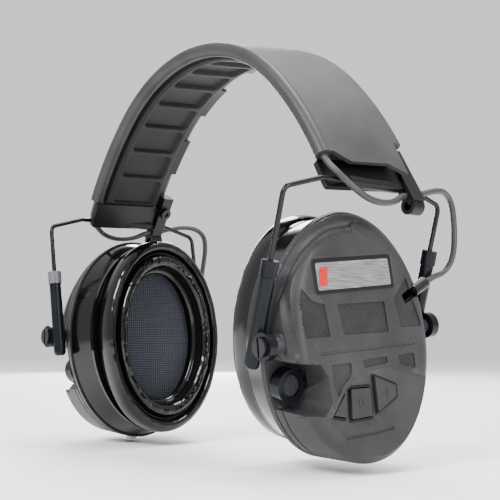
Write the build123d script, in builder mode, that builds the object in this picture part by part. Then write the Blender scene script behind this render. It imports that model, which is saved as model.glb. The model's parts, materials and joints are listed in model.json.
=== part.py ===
"""Electronic earmuff hearing protector: padded headband, wire bails and two oval cups.

Millimetres. +Z is up, -Y is the wearer's front and +X is the wearer's left. The origin is the
underside of the headband's pad at the crown, where it rests on the head.
"""

from build123d import *
import os
from math import cos, pi, radians, sin, tan

os.makedirs("parts", exist_ok=True)

# ---------------------------------------------------------------- driving dimensions: headband
crown_radius = 95.5  # middle line of the band over the crown
crown_half_angle = 43.5  # each side of the top, degrees
side_radius = 182.5  # flatter stretch below each shoulder
side_angle = 17.0
band_rake = 6.2  # the rear edge sits higher than the front, degrees
edge_offset = 23.1  # middle of the band to the middle of the edge tube and bead
tube_radius = 3.7  # front edge tube, which carries the link cable
bead_radius = 2.9  # rear edge bead
skin_thickness = 2.0
skin_top = 3.4  # outer face of the skin above the middle line
spring_width = 26.0
spring_thickness = 0.8
pad_depth = 5.5  # middle line to the pad's inner face
pad_pocket_count = 14
pad_pocket_length = 14.8
pad_pocket_depth = 2.4
pad_land = 4.0  # solid border on each side of the pockets
pad_corner = 2.5
rail_width = 1.4  # strip that holds the pad along its rear edge
rail_thickness = 1.6
tab_middles = (-92.0, -48.0, 0.0, 48.0, 92.0)
tab_length = 24.0
tab_reach = 6.0
fit_gap = 0.2  # between fixed pieces that lie face to face

# ---------------------------------------------------------------- driving dimensions: band ends
hinge_run = 13.0  # end of the padded arc to the bail's cross wire
block_end_gap = 2.2  # cross wire to the end of the block
block_front = 25.6  # block's reach forwards
block_rear = 20.0
block_thickness = 2.6
block_round = 1.6
barrel_radius = 2.7
barrel_front = 14.0  # the cross wire lies bare in front of its barrel
barrel_rear = 18.0
hinge_depth = 2.9  # cross wire inside the band's middle line
skin_tail = 11.0  # how far the skin runs on past the pad at its rear edge
clip_front = 20.4
clip_rear = 27.8
clip_outer = -1.6  # clip's outer face from the band's middle line
clip_thickness = 6.6
clip_above_hinge = 20.0
channel_run = 4.4  # cross wire to the cable channel
channel_out = -4.3
curl_run = 9.6  # cross wire to the curled end of the clip
curl_out = -5.9
curl_radius = 4.1
curl_bore = 2.2
clip_screw_radius = 3.4
clip_screw_head = 1.8
cable_radius = 1.5
cable_clearance = 0.3
tube_inset = 1.5  # the crossover starts this far inside the tube's mouth

# ---------------------------------------------------------------- driving dimensions: bails and yokes
wire_radius = 1.2
running_gap = 0.06  # radial clearance of a wire or shaft that turns or slides
kink_half = 29.4  # cross wire's straight half length
shoulder_drop = 5.9
wire_bend = 4.5
leg_half = 50.2  # middle of the band to each leg
left_fold = 15.5  # each bail's lean inwards at rest, degrees
right_fold = 10.3
sleeve_start = 33.2  # cross wire to the top of the collar
collar_length = 7.0
collar_radius = 3.8
sleeve_radius = 3.3
sleeve_length = 41.0
wire_end = 60.0  # cross wire to the end of each leg
foot_round = 2.2
pivot_run = 69.0  # cross wire to the pivot, along the leg
pivot_offset = 6.9  # pivot outboard of the leg
lug_radius = 6.2
lug_thickness = 4.2
lug_middle = 51.4
screw_head_radius = 4.3
screw_head_thickness = 1.6
screw_slot = 1.1
pivot_pin_radius = 2.0
lug_gap = 0.3

# ---------------------------------------------------------------- driving dimensions: cups
left_tilt = 8.3  # each cup's own lean, lower edge inwards, degrees
right_tilt = 3.7
left_twist = 5.8  # the left cup's pivot line, rear end up, degrees
right_twist = 0.0
cup_half_width = 45.4
cup_half_height = 57.5
cup_drop = 1.5  # middle of the cup below its pivots
cup_draft = 5.0  # shell narrows by this over the draft height
draft_height = 42.0
seam_depth = 10.7  # pivots to the seam between the shells
face_depth = 10.0  # pivots out to the face plate
face_slope = 14.0  # the face leans out towards its lower edge, degrees
face_round = 8.0
wall = 2.4
side_wall = 3.0
face_wall = 4.0
boss_radius = 3.6
boss_reach = 48.6
boss_start = 39.0
pin_slack = 0.08
panel_depth = 1.6  # key panel below the face

inner_shell_length = 15.0
inner_shell_taper = 3.4
inner_step = 1.0  # inner shell inside the outer shell's rim
baffle_thickness = 1.6
seal_plate_thickness = 2.2
seal_half_width = 38.2
seal_half_height = 54.6
seal_thickness = 14.0
seal_round = 5.6
ear_half_width = 25.0
ear_half_height = 38.0
liner_thickness = 6.0
liner_gap = 0.4
speaker_radius = 19.0
speaker_depth = 6.0

# ---------------------------------------------------------------- driving dimensions: cup fittings
badge_width = 48.0
badge_height = 14.4
badge_depth = 1.6
badge_middle = (-2.4, 29.4)
badge_corner = 1.2
pod_floor = -7.0
mic_middle = (-35.5, -19.2)
mic_radius = 7.5
mic_bore = 5.1
mic_face = -0.6
mic_post = 4.0
mic_post_length = 2.6
windscreen_thickness = 2.5
capsule_radius = 3.0
capsule_length = 3.2
gland_middle = (36.5, 18.3)
gland_radius = 2.9
gland_length = 9.0
gland_out = 3.8
gland_lean = 24.0  # upwards from the rear, degrees
key_gap = 0.7
key_proud = 1.2
key_stop = 1.2
key_foot = 5.0
board_size = (38.0, 46.0)
board_thickness = 1.6
board_depth = -7.5
board_middle = (4.0, 6.0)
cell_radius = 5.2
cell_length = 44.5
cell_gap = 0.3
tray_wall = 1.2
contact_thickness = 0.5
door_width = 27.0
door_height = 52.0
door_thickness = 2.0
door_middle = (0.0, -8.0)
door_gap = 0.35
jack_radius = 3.2
jack_collar_radius = 4.4
jack_length = 16.0
jack_bore = 1.8
jack_proud = 1.6
jack_depth = -2.0

# ---------------------------------------------------------------- frames of reference
rearward = Vector(0, 1, 0)
crown_run = crown_radius * radians(crown_half_angle)
side_run = side_radius * radians(side_angle)
pad_half_run = crown_run + side_run
end_angle = radians(crown_half_angle + side_angle)
crown_top = pad_depth


def station(run):
    """Point, tangent and outward normal of the band's middle line, run mm left of the crown."""
    side = -1 if run < 0 else 1
    length = abs(run)
    first = radians(crown_half_angle)
    angle = min(length / crown_radius, first)
    x = crown_radius * sin(angle)
    z = crown_top - crown_radius * (1 - cos(angle))
    if length > crown_run:
        angle = min(first + (length - crown_run) / side_radius, end_angle)
        x += side_radius * (sin(angle) - sin(first))
        z -= side_radius * (cos(first) - cos(angle))
    if length > pad_half_run:
        x += (length - pad_half_run) * cos(angle)
        z -= (length - pad_half_run) * sin(angle)
    tangent = Vector(cos(angle), 0, -side * sin(angle))
    normal = Vector(side * sin(angle), 0, cos(angle))
    return Vector(side * x, 0, z), tangent, normal


def section_plane(run):
    """Cross-section plane of the raked band: x rearwards, y outwards."""
    point, tangent, normal = station(run)
    across = rearward * cos(radians(band_rake)) + normal * sin(radians(band_rake))
    return Plane(origin=point, x_dir=across, z_dir=tangent)


def end_plane(side, run, height=0.0, raked=True):
    """Plane lying on one half of the band: x rearwards, y away from the crown.

    Its z axis points to the head on the left half and away from it on the right half.
    """
    point, tangent, normal = station(side * run)
    cross = section_plane(side * run)
    across = cross.x_dir if raked else rearward
    out = cross.y_dir if raked else normal
    return Plane(origin=point + out * height, x_dir=across, z_dir=across.cross(tangent * side))


def band_point(side, past_pad, back, out):
    """Point near one end of the band, past_pad mm beyond the end of the pad."""
    plane = section_plane(side * (pad_half_run + past_pad))
    return plane.from_local_coords((back, out, 0))


def band_path(start, stop):
    """Middle line of the band between two runs, as tangent arcs and end straights."""
    knots = [-pad_half_run, -crown_run, crown_run, pad_half_run]
    stops = [start] + [knot for knot in knots if start < knot < stop] + [stop]
    with BuildLine() as line:
        for low, high in zip(stops, stops[1:]):
            ends = station(low)[0], station((low + high) / 2)[0], station(high)[0]
            if low >= pad_half_run or high <= -pad_half_run:
                Line(ends[0], ends[2])
            else:
                ThreePointArc(*ends)
    return line.line


class Frame:
    """A placed piece's own axes: x forwards or rearwards, y up, z away from the head."""

    def __init__(self, plane, rear):
        self.plane = plane
        self.rear = rear

    def at(self, depth):
        return self.plane.offset(depth)

    def point(self, back, up, out):
        return self.plane.from_local_coords((self.rear * back, up, out))

    def turned(self, points):
        return [(self.rear * back, up) for back, up in points][:: self.rear]


def bail_frame(side, fold):
    hinge = station(side * (pad_half_run + hinge_run))
    middle = hinge[0] - hinge[2] * hinge_depth
    out = Vector(side * cos(radians(fold)), 0, -sin(radians(fold)))
    return Frame(Plane(origin=middle, x_dir=rearward * side, z_dir=out), side)


def cup_frame(side, bail, tilt, twist):
    out = Vector(side * cos(radians(tilt)), 0, -sin(radians(tilt)))
    up = Vector(side * sin(radians(tilt)), 0, cos(radians(tilt)))
    back = rearward * cos(radians(twist)) + up * sin(radians(twist))
    middle = bail.point(0, -pivot_run, pivot_offset)
    return Frame(Plane(origin=middle, x_dir=back * side, z_dir=out), side)


def face_frame(cup, depth):
    """Plane of the sloping face, depth mm below its surface."""
    slope = radians(face_slope)
    normal = cup.plane.z_dir * cos(slope) + cup.plane.y_dir * sin(slope)
    start = cup.point(0, 0, face_depth) - normal * depth
    return Frame(Plane(origin=start, x_dir=cup.plane.x_dir, z_dir=normal), cup.rear)


left_bail_frame = bail_frame(1, left_fold)
right_bail_frame = bail_frame(-1, right_fold)
left_cup_frame = cup_frame(1, left_bail_frame, left_tilt, left_twist)
right_cup_frame = cup_frame(-1, right_bail_frame, right_tilt, right_twist)

pieces = []


def keep(builder, name):
    """Label a finished piece and write its file."""
    builder.part.label = name
    pieces.append(builder.part)
    export_step(builder.part, "parts/" + name + ".step")


# ---------------------------------------------------------------- band cover
band_ends = (-pad_half_run, pad_half_run)
hinge_at = pad_half_run + hinge_run
cover_run = pad_half_run + skin_tail
clip_top_at = hinge_at - clip_above_hinge
cable_hole_radius = cable_radius + cable_clearance

with BuildPart() as band_cover:
    with BuildSketch(section_plane(-cover_run)):
        with Locations((0, skin_top - skin_thickness / 2)):
            Rectangle(2 * edge_offset, skin_thickness)
        with Locations((-edge_offset, 0)):
            Circle(tube_radius)
        with Locations((edge_offset, skin_top - bead_radius)):
            Circle(bead_radius)
        with Locations((-edge_offset, 0)):
            Circle(cable_hole_radius, mode=Mode.SUBTRACT)
    sweep(path=band_path(-cover_run, cover_run))
    for side in (-1, 1):
        with BuildSketch(end_plane(side, pad_half_run)):
            with BuildLine():
                Polyline(
                    (-edge_offset - 2 * tube_radius, 0),
                    (-edge_offset + tube_radius, 0),
                    (-edge_offset / 2, skin_tail / 2),
                    (clip_front / 2, skin_tail / 2),
                    (clip_front, skin_tail + fit_gap),
                    (clip_front, 2 * skin_tail),
                    (-edge_offset - 2 * tube_radius, 2 * skin_tail),
                    close=True,
                )
            make_face()
        extrude(amount=2 * tube_radius, both=True, mode=Mode.SUBTRACT)
        with BuildSketch(end_plane(side, clip_top_at - fit_gap)):
            Rectangle(
                clip_rear + bead_radius,
                2 * clip_above_hinge,
                align=(Align.MIN, Align.MIN),
            )
            Rectangle(
                clip_front - 2 * fit_gap,
                2 * clip_above_hinge,
                align=(Align.MIN, Align.MIN),
                mode=Mode.SUBTRACT,
            )
        extrude(amount=2 * tube_radius, both=True, mode=Mode.SUBTRACT)
keep(band_cover, "band_cover")

# ---------------------------------------------------------------- spring, pad and clips
spring_middle = skin_top - skin_thickness - fit_gap - spring_thickness / 2
pad_half_width = edge_offset - tube_radius - fit_gap
pad_top = spring_middle - spring_thickness / 2 - fit_gap
pad_pitch = 2 * pad_half_run / pad_pocket_count

with BuildPart() as band_spring:
    with BuildSketch(section_plane(-pad_half_run)):
        with Locations((0, spring_middle)):
            Rectangle(spring_width, spring_thickness)
    sweep(path=band_path(*band_ends))
keep(band_spring, "band_spring")

with BuildPart() as band_pad:
    with BuildSketch(section_plane(-pad_half_run)):
        with Locations((0, (pad_top - pad_depth) / 2)):
            Rectangle(2 * pad_half_width, pad_top + pad_depth)
    sweep(path=band_path(*band_ends))
    for index in range(pad_pocket_count):
        middle = (index + 0.5) * pad_pitch - pad_half_run
        with BuildSketch(end_plane(1 if middle > 0 else -1, abs(middle), -pad_depth)):
            RectangleRounded(2 * (pad_half_width - pad_land), pad_pocket_length, pad_corner)
        extrude(amount=pad_pocket_depth, both=True, mode=Mode.SUBTRACT)
keep(band_pad, "band_pad")

rail_front = pad_half_width + fit_gap
rail_top = skin_top - 2 * bead_radius - fit_gap

with BuildPart() as pad_clips:
    with BuildSketch(section_plane(-clip_top_at + fit_gap)):
        with Locations((rail_front, rail_top)):
            Rectangle(rail_width, rail_thickness, align=(Align.MIN, Align.MAX))
    sweep(path=band_path(-clip_top_at + fit_gap, clip_top_at - fit_gap))
    for middle in tab_middles:
        with BuildSketch(section_plane(middle - tab_length / 2)):
            with Locations((rail_front, rail_top)):
                Rectangle(tab_reach, rail_thickness, align=(Align.MIN, Align.MAX))
        sweep(path=band_path(middle - tab_length / 2, middle + tab_length / 2))
keep(pad_clips, "pad_clips")

# ---------------------------------------------------------------- end blocks
for side, name, bail in ((1, "left", left_bail_frame), (-1, "right", right_bail_frame)):
    barrel_plane = Plane(origin=bail.point(-barrel_front, 0, 0), x_dir=(1, 0, 0), z_dir=rearward)
    block_length = hinge_run + block_end_gap - fit_gap
    with BuildPart() as end_block:
        with BuildSketch(end_plane(side, pad_half_run, -pad_depth)) as end_sketch:
            with Locations((-block_front, fit_gap)):
                Rectangle(block_front + block_rear, block_length, align=(Align.MIN, Align.MIN))
            fillet(end_sketch.vertices(), block_round)
        extrude(amount=-side * block_thickness)
        with BuildSketch(barrel_plane):
            Circle(barrel_radius)
        extrude(amount=barrel_front + barrel_rear)
        with BuildSketch(barrel_plane):
            Circle(wire_radius + running_gap)
        extrude(amount=2 * block_front, both=True, mode=Mode.SUBTRACT)
    keep(end_block, name + "_end_block")

# ---------------------------------------------------------------- cable clips and their screws
clip_middle = (clip_front + clip_rear) / 2
clip_width = clip_rear - clip_front
clip_inner = clip_outer - clip_thickness
clip_screw_at = hinge_at - clip_above_hinge / 2

for side, name, bail in ((1, "left", left_bail_frame), (-1, "right", right_bail_frame)):
    curl_middle = band_point(side, hinge_run + curl_run, clip_middle, curl_out)
    channel_middle = band_point(side, hinge_run + channel_run, clip_middle, channel_out)
    channel_way = section_plane(side * hinge_at).x_dir
    with BuildPart() as cable_clip:
        with BuildSketch(end_plane(side, clip_top_at, clip_inner)):
            with Locations((clip_middle, 0)):
                Rectangle(clip_width, clip_above_hinge + curl_run, align=(Align.CENTER, Align.MIN))
        extrude(amount=-side * clip_thickness)
        with BuildSketch(Plane(origin=curl_middle, z_dir=rearward)):
            Circle(curl_radius)
        extrude(amount=clip_width / 2, both=True)
        with BuildSketch(end_plane(side, clip_screw_at, clip_inner)):
            with Locations((clip_middle, 0)):
                Circle(clip_screw_radius / 2 + fit_gap)
        extrude(amount=-side * clip_thickness, mode=Mode.SUBTRACT)
        with BuildSketch(Plane(origin=curl_middle - rearward * clip_width / 2, z_dir=rearward)):
            Circle(curl_bore)
        extrude(amount=clip_width / 2, mode=Mode.SUBTRACT)
        with BuildSketch(Plane(origin=channel_middle, z_dir=channel_way)):
            Circle(cable_hole_radius)
        extrude(amount=clip_width, both=True, mode=Mode.SUBTRACT)
        with BuildSketch(Plane(origin=bail.point(clip_front, 0, 0), z_dir=rearward)):
            Circle(wire_radius + fit_gap)
        extrude(amount=2 * clip_width, both=True, mode=Mode.SUBTRACT)
    keep(cable_clip, name + "_cable_clip")

with BuildPart() as clip_screws:
    for side in (1, -1):
        with BuildSketch(end_plane(side, clip_screw_at, clip_inner - fit_gap)):
            with Locations((clip_middle, 0)):
                Circle(clip_screw_radius)
        extrude(amount=side * clip_screw_head)
        with BuildSketch(end_plane(side, clip_screw_at, clip_inner - fit_gap)):
            with Locations((clip_middle, 0)):
                Circle(clip_screw_radius / 2)
        extrude(amount=-side * clip_thickness / 2)
        with BuildSketch(end_plane(side, clip_screw_at, clip_inner - fit_gap - clip_screw_head)):
            with Locations((clip_middle, 0)):
                RegularPolygon(clip_screw_radius / 2, 6)
        extrude(amount=-side * clip_screw_head / 2, mode=Mode.SUBTRACT)
keep(clip_screws, "clip_screws")

# ---------------------------------------------------------------- bails
for name, bail in (("left", left_bail_frame), ("right", right_bail_frame)):
    with BuildPart() as bail_wire:
        with BuildLine(bail.plane) as wire_line:
            FilletPolyline(
                (-leg_half, -wire_end),
                (-leg_half, -shoulder_drop),
                (-kink_half, 0),
                (kink_half, 0),
                (leg_half, -shoulder_drop),
                (leg_half, -wire_end),
                radius=wire_bend,
            )
        with BuildSketch(Plane(origin=wire_line.line @ 0, z_dir=wire_line.line % 0)):
            Circle(wire_radius)
        sweep()
    keep(bail_wire, name + "_bail_wire")

# ---------------------------------------------------------------- yokes
def pin_plane(cup, back, reach):
    """Plane square to the cup's pivot line, reach mm from the middle."""
    axis = cup.plane.x_dir * cup.rear * back
    return Plane(origin=cup.plane.origin + axis * reach, z_dir=axis)


def sleeve_plane(bail, back, twist):
    """Plane across the lower end of a sleeve, facing up its wire."""
    bottom = back * leg_half * tan(radians(twist)) - sleeve_start - collar_length - sleeve_length
    return Plane(origin=bail.point(back * leg_half, bottom, 0), z_dir=bail.plane.y_dir)


yokes = (
    ("left", left_bail_frame, left_cup_frame, left_twist),
    ("right", right_bail_frame, right_cup_frame, right_twist),
)
for name, bail, cup, twist in yokes:
    for end, back in (("front", -1), ("rear", 1)):
        foot = sleeve_plane(bail, back, twist)
        lug = pin_plane(cup, back, lug_middle - lug_thickness / 2)
        with BuildPart() as sleeve:
            with BuildSketch(foot):
                Circle(sleeve_radius)
            extrude(amount=sleeve_length)
            fillet(sleeve.edges().filter_by(GeomType.CIRCLE).sort_by(Axis.Z)[0], foot_round)
            with BuildSketch(lug):
                Circle(lug_radius)
            extrude(amount=lug_thickness)
            with BuildSketch(foot.offset(foot_round)):
                Circle(wire_radius + running_gap)
            extrude(amount=sleeve_length, mode=Mode.SUBTRACT)
            with BuildSketch(lug):
                Circle(pivot_pin_radius + running_gap)
            extrude(amount=lug_thickness + sleeve_radius, both=True, mode=Mode.SUBTRACT)
        keep(sleeve, name + "_" + end + "_sleeve")

    with BuildPart() as sleeve_collars:
        for back in (-1, 1):
            top = sleeve_plane(bail, back, twist).offset(sleeve_length + fit_gap)
            with BuildSketch(top):
                Circle(collar_radius)
                Circle(wire_radius + running_gap, mode=Mode.SUBTRACT)
            extrude(amount=collar_length)
    keep(sleeve_collars, name + "_sleeve_collars")

# ---------------------------------------------------------------- outer shells
pod_outline = [(-56, 2), (-46, -6.5), (-30, -8.2), (-26.5, -14), (-26.5, -25), (-31, -30), (-56, -31.4)]
panel_outline = [
    (-8, -15.4), (8, -13.6), (24, -17.6), (37, -21.6), (60, -30), (60, -80), (-60, -80),
    (-37, -42), (-34, -35), (-27.6, -31.6), (-18.2, -21.6),
]
key_outlines = {
    "minus": [(-17.9, -22.9), (-19.3, -32.6), (-26.0, -30.9)],
    "zero": [(-13.9, -21.2), (-2.2, -21.8), (-3.3, -34.2), (-15.6, -33.9)],
    "plus": [(1.8, -17.3), (14.2, -22.8), (13.4, -27.6), (1.0, -33.0)],
}


def shell_form(cup, start, side, depth, rounding):
    """Tapered oval form under the sloping face, inset at its side and its face."""
    with BuildPart() as form:
        with BuildSketch(cup.at(start)):
            with Locations((0, -cup_drop)):
                Ellipse(cup_half_height - side, cup_half_width - side, rotation=90)
        with BuildSketch(cup.at(draft_height - seam_depth)):
            with Locations((0, -cup_drop)):
                Ellipse(cup_half_height - cup_draft - side, cup_half_width - cup_draft - side, rotation=90)
        loft()
        split(bisect_by=face_frame(cup, depth).plane, keep=Keep.BOTTOM)
        if rounding:
            rim = form.faces().sort_by(Axis(cup.plane.origin, face_frame(cup, depth).plane.z_dir))[-1]
            fillet(rim.edges(), rounding)
    return form.part


def prism(plane, points, amount, grow=0.0):
    """Straight-sided block over a closed outline, grown outwards all round."""
    with BuildPart() as block:
        with BuildSketch(plane):
            with BuildLine():
                Polyline(*points, close=True)
            make_face()
            if grow:
                offset(amount=grow, kind=Kind.INTERSECTION)
        extrude(amount=amount)
    return block.part


def gland_plane(cup):
    lean = radians(gland_lean)
    axis = cup.plane.x_dir * (cup.rear * cos(lean)) + cup.plane.y_dir * sin(lean)
    return Plane(origin=cup.point(*gland_middle, gland_out), z_dir=axis)


def jack_plane(cup, up):
    return Plane(origin=cup.point(0, up, jack_depth), x_dir=cup.plane.x_dir, z_dir=cup.plane.y_dir)


badge_frame = face_frame(left_cup_frame, badge_depth)
key_frame = face_frame(left_cup_frame, panel_depth)
door_frame = face_frame(right_cup_frame, door_thickness)
door_spot = (door_frame.rear * door_middle[0], door_middle[1])
tall = 2 * draft_height

for name, cup in (("left", left_cup_frame), ("right", right_cup_frame)):
    outside = shell_form(cup, -seam_depth, 0, 0, face_round)
    pod_walls = prism(cup.at(pod_floor - wall), cup.turned(pod_outline), tall, wall)
    pod_cut = prism(cup.at(pod_floor), cup.turned(pod_outline), tall)
    hollow = shell_form(cup, -seam_depth - 1, side_wall, face_wall, 0) - pod_walls
    panel_cut = prism(key_frame.plane, key_frame.turned(panel_outline), tall)
    key_cuts = [prism(key_frame.at(-2 * wall), key_frame.turned(points), 4 * wall, key_gap)
                for points in key_outlines.values()]
    with BuildPart() as outer_shell:
        add(outside)
        for back in (-1, 1):
            with BuildSketch(pin_plane(cup, back, boss_start)):
                Circle(boss_radius)
            extrude(amount=boss_reach - boss_start)
            with BuildSketch(pin_plane(cup, back, boss_start)):
                Circle(pivot_pin_radius + pin_slack)
            extrude(amount=boss_reach, mode=Mode.SUBTRACT)
        with BuildSketch(gland_plane(cup).offset(-gland_length)):
            Circle(gland_radius + pin_slack)
        extrude(amount=2 * gland_length + wall, mode=Mode.SUBTRACT)
        if name == "left":
            add(panel_cut, mode=Mode.SUBTRACT)
            with BuildSketch(badge_frame.plane):
                with Locations((badge_frame.rear * badge_middle[0], badge_middle[1])):
                    RectangleRounded(badge_width + 2 * fit_gap, badge_height + 2 * fit_gap, badge_corner)
            extrude(amount=tall, mode=Mode.SUBTRACT)
            for key_cut in key_cuts:
                add(key_cut, mode=Mode.SUBTRACT)
        else:
            with BuildSketch(face_frame(cup, face_wall + wall).plane):
                with Locations(door_spot):
                    Rectangle(door_width + 2 * door_gap, door_height + 2 * door_gap)
            extrude(amount=tall, mode=Mode.SUBTRACT)
            with BuildSketch(jack_plane(cup, -2 * cup_half_height)):
                Circle(jack_radius + pin_slack)
            extrude(amount=1.5 * cup_half_height, mode=Mode.SUBTRACT)
        add(hollow, mode=Mode.SUBTRACT)
        add(pod_cut, mode=Mode.SUBTRACT)
    keep(outer_shell, name + "_outer_shell")

# ---------------------------------------------------------------- inner shells, seals and liners
inner_start = -seam_depth - fit_gap
inner_end = inner_start - inner_shell_length
plate_start = inner_end - fit_gap
seal_start = plate_start - seal_plate_thickness - fit_gap
inner_width = cup_half_width - inner_step
inner_height = cup_half_height - inner_step


cup_middle = (0, -cup_drop)
baffle_end = inner_start - baffle_thickness

for name, cup in (("left", left_cup_frame), ("right", right_cup_frame)):
    with BuildPart() as inner_shell:
        with BuildSketch(cup.at(inner_start)):
            with Locations(cup_middle):
                Ellipse(inner_width, inner_height)
        with BuildSketch(cup.at(inner_end)):
            with Locations(cup_middle):
                Ellipse(inner_width - inner_shell_taper, inner_height - inner_shell_taper)
        loft()
        with BuildSketch(cup.at(baffle_end)):
            with Locations(cup_middle):
                Ellipse(inner_width - wall, inner_height - wall)
        with BuildSketch(cup.at(inner_end - 1)):
            with Locations(cup_middle):
                Ellipse(inner_width - inner_shell_taper - wall, inner_height - inner_shell_taper - wall)
        loft(mode=Mode.SUBTRACT)
    keep(inner_shell, name + "_inner_shell")

    with BuildPart() as seal_plate:
        with BuildSketch(cup.at(plate_start)):
            with Locations((0, -cup_drop)):
                Ellipse(inner_width - inner_shell_taper, inner_height - inner_shell_taper)
                Ellipse(ear_half_width, ear_half_height, mode=Mode.SUBTRACT)
        extrude(amount=-seal_plate_thickness)
    keep(seal_plate, name + "_seal_plate")

    with BuildPart() as seal:
        with BuildSketch(cup.at(seal_start)):
            with Locations((0, -cup_drop)):
                Ellipse(seal_half_width, seal_half_height)
                Ellipse(ear_half_width, ear_half_height, mode=Mode.SUBTRACT)
        extrude(amount=-seal_thickness)
        head_side = seal.faces().sort_by(Axis(cup.plane.origin, cup.plane.z_dir))[0]
        fillet(head_side.edges(), seal_round)
    keep(seal, name + "_seal")

    with BuildPart() as liner:
        with BuildSketch(cup.at(inner_end + fit_gap)):
            with Locations((0, -cup_drop)):
                Ellipse(
                    inner_width - inner_shell_taper - wall - liner_gap,
                    inner_height - inner_shell_taper - wall - liner_gap,
                )
        extrude(amount=liner_thickness)
    keep(liner, name + "_liner")

    with BuildPart() as speaker:
        with BuildSketch(cup.at(baffle_end - fit_gap)):
            Circle(speaker_radius)
        extrude(amount=-speaker_depth / 2)
        with BuildSketch(cup.at(baffle_end - fit_gap - speaker_depth / 2)):
            Circle(0.7 * speaker_radius)
        extrude(amount=-speaker_depth / 2 + fit_gap)
    keep(speaker, name + "_speaker")

    # -------------------------------------------------------- microphone
    with BuildPart() as mic_ring:
        with BuildSketch(cup.at(pod_floor + pin_slack)):
            with Locations((cup.rear * mic_middle[0], mic_middle[1])):
                Circle(mic_radius)
            with Locations((cup.rear * (mic_middle[0] + mic_radius), mic_middle[1])):
                Rectangle(mic_post_length, mic_post)
            with Locations((cup.rear * mic_middle[0], mic_middle[1])):
                Circle(mic_bore, mode=Mode.SUBTRACT)
        extrude(amount=mic_face - pod_floor)
    keep(mic_ring, name + "_mic_ring")

    with BuildPart() as windscreen:
        with BuildSketch(cup.at(mic_face)):
            with Locations((cup.rear * mic_middle[0], mic_middle[1])):
                Circle(mic_bore - fit_gap)
        extrude(amount=-windscreen_thickness)
    keep(windscreen, name + "_windscreen")

    with BuildPart() as mic_capsule:
        with BuildSketch(cup.at(pod_floor + pin_slack)):
            with Locations((cup.rear * mic_middle[0], mic_middle[1])):
                Circle(capsule_radius)
        extrude(amount=capsule_length)
    keep(mic_capsule, name + "_mic_capsule")

    # -------------------------------------------------------- gland and pivot screws
    with BuildPart() as cable_gland:
        with BuildSketch(gland_plane(cup)):
            Circle(gland_radius)
            Circle(cable_hole_radius, mode=Mode.SUBTRACT)
        extrude(amount=gland_length)
    keep(cable_gland, name + "_cable_gland")

    head_start = lug_middle + lug_thickness / 2 + lug_gap
    with BuildPart() as pivot_screws:
        for back in (-1, 1):
            with BuildSketch(pin_plane(cup, back, boss_start + wall)):
                Circle(pivot_pin_radius)
            extrude(amount=head_start - boss_start - wall)
            with BuildSketch(pin_plane(cup, back, head_start)):
                Circle(screw_head_radius)
            extrude(amount=screw_head_thickness)
            with BuildSketch(pin_plane(cup, back, head_start + screw_head_thickness)):
                Rectangle(3 * screw_head_radius, screw_slot)
            extrude(amount=-screw_head_thickness / 2, mode=Mode.SUBTRACT)
    keep(pivot_screws, name + "_pivot_screws")

# ---------------------------------------------------------------- badge, keys and board
with BuildPart() as badge_plate:
    with BuildSketch(badge_frame.at(fit_gap)):
        with Locations((badge_frame.rear * badge_middle[0], badge_middle[1])):
            RectangleRounded(badge_width, badge_height, badge_corner)
    extrude(amount=badge_depth)
keep(badge_plate, "badge_plate")

key_under = panel_depth - face_wall - pin_slack
for key, points in key_outlines.items():
    low = min(up for back, up in points)
    high = max(up for back, up in points)
    middle = sum(back for back, up in points) / len(points)
    with BuildPart() as key_button:
        with BuildSketch(key_frame.at(key_under)):
            with BuildLine():
                Polyline(*key_frame.turned(points), close=True)
            make_face()
        extrude(amount=key_proud - key_under)
        with BuildSketch(key_frame.at(key_under)):
            with Locations((key_frame.rear * middle, (low + high) / 2)):
                Rectangle(key_foot, high - low + 2 * (key_gap + key_stop))
        extrude(amount=-key_stop)
    keep(key_button, "button_" + key)

with BuildPart() as circuit_board:
    with BuildSketch(left_cup_frame.at(board_depth)):
        with Locations((left_cup_frame.rear * board_middle[0], board_middle[1])):
            Rectangle(*board_size)
    extrude(amount=board_thickness)
keep(circuit_board, "circuit_board")

# ---------------------------------------------------------------- batteries and door
tray_depth = door_thickness + 2 * cell_gap + 2 * cell_radius
tray_frame = face_frame(right_cup_frame, tray_depth + tray_wall)
tray_width = 4 * cell_radius + 4 * cell_gap
tray_height = cell_length + 2 * contact_thickness + 4 * cell_gap
cell_frame = face_frame(right_cup_frame, door_thickness + cell_gap + cell_radius)

with BuildPart() as battery_tray:
    with BuildSketch(tray_frame.plane):
        with Locations(door_spot):
            Rectangle(tray_width + 2 * tray_wall, tray_height + 2 * tray_wall)
    extrude(amount=tray_wall)
    with BuildSketch(tray_frame.at(tray_wall)):
        with Locations(door_spot):
            Rectangle(tray_width + 2 * tray_wall, tray_height + 2 * tray_wall)
            Rectangle(tray_width, tray_height, mode=Mode.SUBTRACT)
    extrude(amount=cell_radius)
keep(battery_tray, "battery_tray")

for index, back in ((1, -1), (2, 1)):
    foot = (door_spot[0] + back * (cell_radius + cell_gap), door_spot[1] - cell_length / 2)
    cell_plane = Plane(origin=cell_frame.plane.from_local_coords((*foot, 0)), z_dir=cell_frame.plane.y_dir)
    with BuildPart() as battery:
        with BuildSketch(cell_plane):
            Circle(cell_radius)
        extrude(amount=cell_length - 1)
        with BuildSketch(cell_plane.offset(cell_length - 1)):
            Circle(cell_radius / 3)
        extrude(amount=1)
    keep(battery, "battery_" + str(index))

for name, way in (("upper", 1), ("lower", -1)):
    spot = (door_spot[0], door_spot[1] + way * (cell_length / 2 + cell_gap + contact_thickness / 2))
    with BuildPart() as battery_contact:
        with BuildSketch(tray_frame.at(tray_wall + cell_gap)):
            with Locations(spot):
                Rectangle(tray_width - 2 * cell_gap, contact_thickness)
        extrude(amount=cell_radius)
    keep(battery_contact, name + "_battery_contact")

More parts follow.
